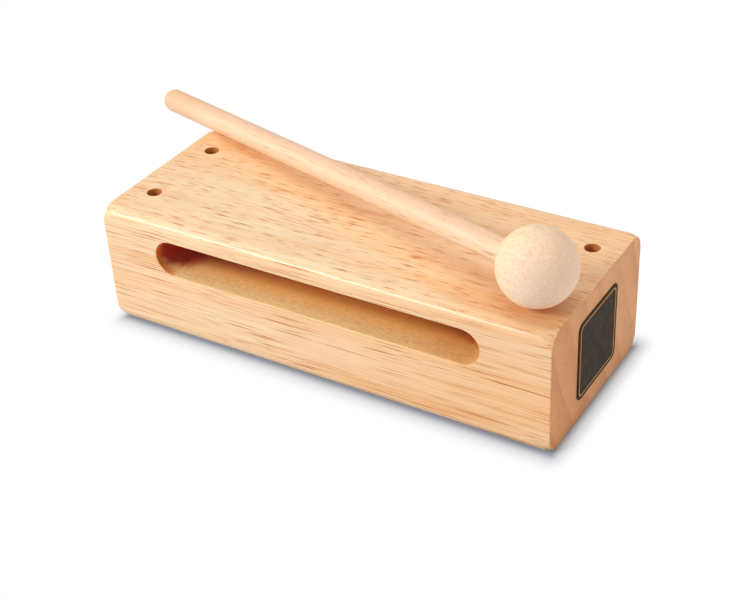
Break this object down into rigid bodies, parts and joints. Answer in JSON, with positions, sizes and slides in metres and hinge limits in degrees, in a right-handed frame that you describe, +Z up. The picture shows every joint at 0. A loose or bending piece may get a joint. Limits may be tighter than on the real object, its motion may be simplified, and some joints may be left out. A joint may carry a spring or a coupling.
{
  "type": "woodblock",
  "caption": "Hand woodblock: a rounded hardwood block with a stopped sound slot along its front and drilled screw holes, with a loose ball-headed wooden beater lying on top.",
  "frame": {"origin": "middle of the block's underside, on the surface it stands on", "axes": "+X along the block towards the labelled end, -Y towards the front with the slot, +Z up"},
  "size_m": [0.2224, 0.0877, 0.0796],
  "materials": {
    "block_wood": "satin clear lacquer",
    "label": "satin print",
    "handle_wood": "sanded, unlacquered",
    "ball_wood": "sanded, unlacquered"
  },
  "bodies": {
    "block": {"block_body": "block_wood", "end_label": "label"},
    "beater": {"beater_handle": "handle_wood", "beater_ball": "ball_wood"}
  },
  "joints": [
    {"name": "beater_lift", "type": "slide", "parent": "block", "child": "beater", "axis": [0, 0, 1], "range_m": [0, 0.12]}
  ]
}
